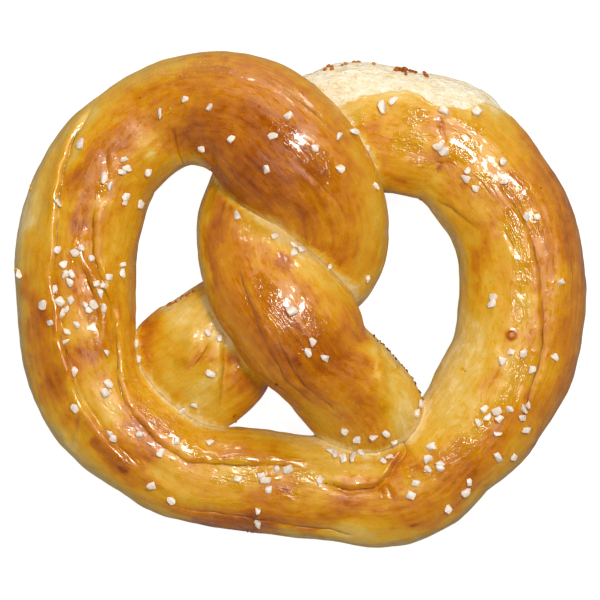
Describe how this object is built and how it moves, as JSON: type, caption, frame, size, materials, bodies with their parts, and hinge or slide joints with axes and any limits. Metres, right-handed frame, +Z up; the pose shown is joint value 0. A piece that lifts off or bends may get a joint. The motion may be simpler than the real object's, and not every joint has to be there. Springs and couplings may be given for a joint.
{
  "type": "soft pretzel",
  "caption": "Baked rope of dough twisted into the classic open knot, flat underneath, with a glazed golden-brown crust and coarse salt on top.",
  "frame": {"origin": "middle of the pretzel's outline, on the flat underside that rests on the table", "axes": "+X across the pretzel's width towards its right loop, +Y from the bow towards the far side of the loops, +Z up out of the crust"},
  "size_m": [0.1506, 0.1304, 0.0365],
  "materials": {
    "crust": "golden-brown baked crust, shiny with egg wash, paler where the dough tore or stayed in shade",
    "salt": "coarse white pretzel salt, translucent angular grains"
  },
  "bodies": {
    "root": {"pretzel": "crust"}
  },
  "joints": []
}
